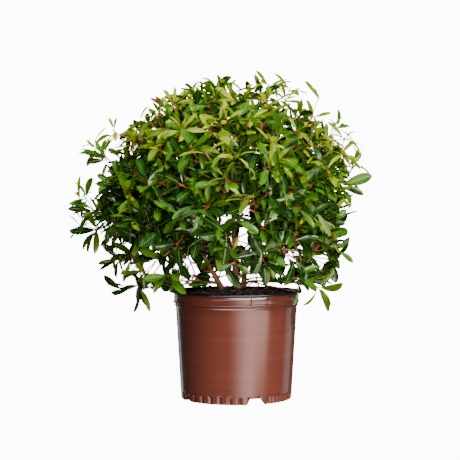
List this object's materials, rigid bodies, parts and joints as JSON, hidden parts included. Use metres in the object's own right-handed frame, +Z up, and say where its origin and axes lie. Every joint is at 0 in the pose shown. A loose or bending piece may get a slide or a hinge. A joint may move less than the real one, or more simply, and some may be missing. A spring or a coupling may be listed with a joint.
{
  "type": "potted bronze beauty cleyera",
  "caption": "Round evergreen shrub on three stems, with glossy leaves in open masses on slender boughs, rooted in compost in a tapered nursery pot.",
  "frame": {"origin": "centre of the pot's flat underside", "axes": "+Z up along the pot's axis, -Y towards the side that the picture shows, +X to its right"},
  "size_m": [0.5524, 0.4834, 0.6162],
  "materials": {
    "pot_plastic": "satin bronze-brown injection-moulded polypropylene with a black rolled rim",
    "compost": "moist shredded pine bark and peat",
    "bark": "thin fissured reddish grey-brown bark",
    "foliage": "glossy leathery green leaves on orange-brown young twigs"
  },
  "bodies": {
    "root": {"bough_lower_back_left": "bark", "bough_lower_back_right": "bark", "bough_lower_front_left": "bark", "bough_lower_front_right": "bark", "bough_lower_left": "bark", "bough_lower_right": "bark", "bough_middle_back": "bark", "bough_middle_back_left": "bark", "bough_middle_back_right": "bark", "bough_middle_front": "bark", "bough_middle_front_left": "bark", "bough_middle_front_right": "bark", "bough_middle_left": "bark", "bough_middle_right": "bark", "bough_upper_back_left": "bark", "bough_upper_back_right": "bark", "bough_upper_front": "bark", "foliage_lower_back_left": "foliage", "foliage_lower_back_right": "foliage", "foliage_lower_front_left": "foliage", "foliage_lower_front_right": "foliage", "foliage_lower_left": "foliage", "foliage_lower_right": "foliage", "foliage_middle_back": "foliage", "foliage_middle_back_left": "foliage", "foliage_middle_back_right": "foliage", "foliage_middle_front": "foliage", "foliage_middle_front_left": "foliage", "foliage_middle_front_right": "foliage", "foliage_middle_left": "foliage", "foliage_middle_right": "foliage", "foliage_top": "foliage", "foliage_upper_back_left": "foliage", "foliage_upper_back_right": "foliage", "foliage_upper_front": "foliage", "foliage_upper_left": "foliage", "foliage_upper_right": "foliage", "pot": "pot_plastic", "soil": "compost", "stem_left": "bark", "stem_main": "bark", "stem_right": "bark"}
  },
  "joints": []
}
